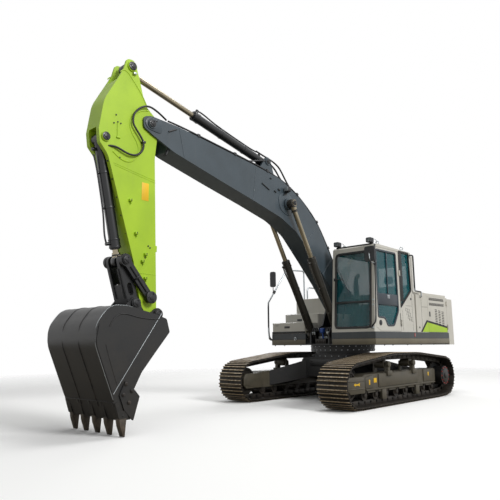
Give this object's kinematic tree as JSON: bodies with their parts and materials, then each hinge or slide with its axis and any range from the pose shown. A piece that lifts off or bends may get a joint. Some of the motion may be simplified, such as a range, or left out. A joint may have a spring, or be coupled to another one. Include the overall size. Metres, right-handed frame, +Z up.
{
  "type": "crawler excavator",
  "caption": "Crawler excavator of the 22 tonne class with an enclosed cab, slate boom, green arm and a toothed digging bucket.",
  "frame": {"origin": "on the ground under the slew axis", "axes": "+X forward along the boom, +Y to the operator's left, +Z up"},
  "size_m": [9.1724, 2.98, 5.3016],
  "materials": {
    "rail_steel": "satin",
    "black_paint": "satin",
    "shoe_steel": "worn",
    "grey_paint": "satin",
    "dark_grey_paint": "satin",
    "slate_paint": "gloss",
    "green_paint": "gloss",
    "rod_chrome": "polished",
    "glass": "clear",
    "seat_fabric": "matt",
    "console_plastic": "matt",
    "engine_iron": "matt"
  },
  "bodies": {
    "undercarriage": {"carbody": "black_paint", "track_frames": "black_paint", "track_left": "shoe_steel", "track_right": "shoe_steel", "idlers": "black_paint", "sprockets": "black_paint", "track_rollers": "black_paint", "carrier_rollers": "black_paint", "slew_ring_lower": "black_paint"},
    "house": {"slew_ring_upper": "dark_grey_paint", "house_frame": "dark_grey_paint", "skirts": "dark_grey_paint", "counterweight": "grey_paint", "left_rear_panel": "grey_paint", "rear_posts": "grey_paint", "front_cover": "grey_paint", "engine_block": "engine_iron", "fuel_tank": "grey_paint", "storage_boxes": "grey_paint", "intake_cover": "grey_paint", "exhaust_stack": "black_paint", "cab_shell": "grey_paint", "cab_glass": "glass", "operator_seat": "seat_fabric", "consoles": "console_plastic", "roof_lamps": "black_paint", "mirrors": "black_paint", "handrails": "rail_steel"},
    "hood": {"engine_hood": "grey_paint"},
    "left_service_door": {"left_service_door": "grey_paint"},
    "right_service_door": {"right_service_door": "grey_paint"},
    "cab_door": {"cab_door": "grey_paint", "door_glass": "glass"},
    "boom": {"boom": "slate_paint", "boom_pipes": "black_paint"},
    "boom_barrels": {"boom_cylinder_barrels": "black_paint"},
    "boom_rods": {"boom_cylinder_rods": "rod_chrome"},
    "arm": {"arm": "green_paint"},
    "arm_barrel": {"arm_cylinder_barrel": "black_paint"},
    "arm_rod": {"arm_cylinder_rod": "rod_chrome"},
    "bucket_barrel": {"bucket_cylinder_barrel": "black_paint"},
    "bucket_rod": {"bucket_cylinder_rod": "rod_chrome"},
    "rocker": {"rocker_links": "black_paint"},
    "link": {"bucket_link": "black_paint"},
    "bucket": {"bucket": "black_paint"}
  },
  "joints": [
    {"name": "house_slew", "type": "hinge", "parent": "undercarriage", "child": "house", "pos_m": [0, 0, 1.09], "axis": [0, 0, 1], "continuous": true},
    {"name": "cab_door_hinge", "type": "hinge", "parent": "house", "child": "cab_door", "pos_m": [-0.078, 1.355, 1.9], "axis": [0, 0, 1], "range_deg": [0, 150]},
    {"name": "left_service_door_hinge", "type": "hinge", "parent": "house", "child": "left_service_door", "pos_m": [-2.217, 1.375, 1.7], "axis": [0, 0, 1], "range_deg": [0, 120]},
    {"name": "right_service_door_hinge", "type": "hinge", "parent": "house", "child": "right_service_door", "pos_m": [-2.217, -1.375, 1.7], "axis": [0, 0, -1], "range_deg": [0, 120]},
    {"name": "engine_hood_hinge", "type": "hinge", "parent": "house", "child": "hood", "pos_m": [-1.1715, 0, 2.185], "axis": [0, 1, 0], "range_deg": [0, 60]},
    {"name": "boom_lift", "type": "hinge", "parent": "house", "child": "boom", "pos_m": [0.13, 0, 1.87], "axis": [0, -1, 0], "range_deg": [-70, 37]},
    {"name": "boom_cylinder_tilt", "type": "hinge", "parent": "house", "child": "boom_barrels", "pos_m": [0.62, 0, 1.3], "axis": [0, -1, 0], "range_deg": [-69.31, 36.64]},
    {"name": "boom_cylinder_stroke", "type": "slide", "parent": "boom_barrels", "child": "boom_rods", "axis": [0.5038, 0, 0.8638], "range_m": [-0.76408, 0.40411]},
    {"name": "arm_crowd", "type": "hinge", "parent": "boom", "child": "arm", "pos_m": [5.25, 0, 4.395], "axis": [0, 1, 0], "range_deg": [-92, 23]},
    {"name": "arm_cylinder_tilt", "type": "hinge", "parent": "boom", "child": "arm_barrel", "pos_m": [2.48, 0, 4.5], "axis": [0, 1, 0], "range_deg": [-0.93, 0.24]},
    {"name": "arm_cylinder_stroke", "type": "slide", "parent": "arm_barrel", "child": "arm_rod", "axis": [0.9762, 0, 0.2171], "range_m": [-1.17266, 0.29354]},
    {"name": "bucket_curl", "type": "hinge", "parent": "arm", "child": "bucket", "pos_m": [5.075, 0, 1.56], "axis": [0, 1, 0], "range_deg": [-5, 135]},
    {"name": "rocker_turn", "type": "hinge", "parent": "arm", "child": "rocker", "pos_m": [5.221, 0, 1.79], "axis": [0, 1, 0], "range_deg": [-4.41, 118.81]},
    {"name": "bucket_link_turn", "type": "hinge", "parent": "bucket", "child": "link", "pos_m": [5.463, 0, 1.7], "axis": [0, 1, 0], "range_deg": [-63.46, 2.36]},
    {"name": "bucket_cylinder_tilt", "type": "hinge", "parent": "arm", "child": "bucket_barrel", "pos_m": [6.01, 0, 3.996], "axis": [0, 1, 0], "range_deg": [-4.06, 0.16]},
    {"name": "bucket_cylinder_stroke", "type": "slide", "parent": "bucket_barrel", "child": "bucket_rod", "axis": [-0.2092, 0, -0.9779], "range_m": [-0.04326, 1.15504]}
  ],
  "couplings": [
    {"joint": "boom_cylinder_tilt", "follows": "boom_lift", "ratio": 0.99},
    {"joint": "boom_cylinder_stroke", "follows": "boom_lift", "m_per_rad": 0.625},
    {"joint": "arm_cylinder_tilt", "follows": "arm_crowd", "ratio": 0.01},
    {"joint": "arm_cylinder_stroke", "follows": "arm_crowd", "m_per_rad": 0.73},
    {"joint": "rocker_turn", "follows": "bucket_curl", "ratio": 0.88},
    {"joint": "bucket_link_turn", "follows": "bucket_curl", "ratio": -0.47},
    {"joint": "bucket_cylinder_tilt", "follows": "bucket_curl", "ratio": -0.03},
    {"joint": "bucket_cylinder_stroke", "follows": "bucket_curl", "m_per_rad": 0.49}
  ]
}
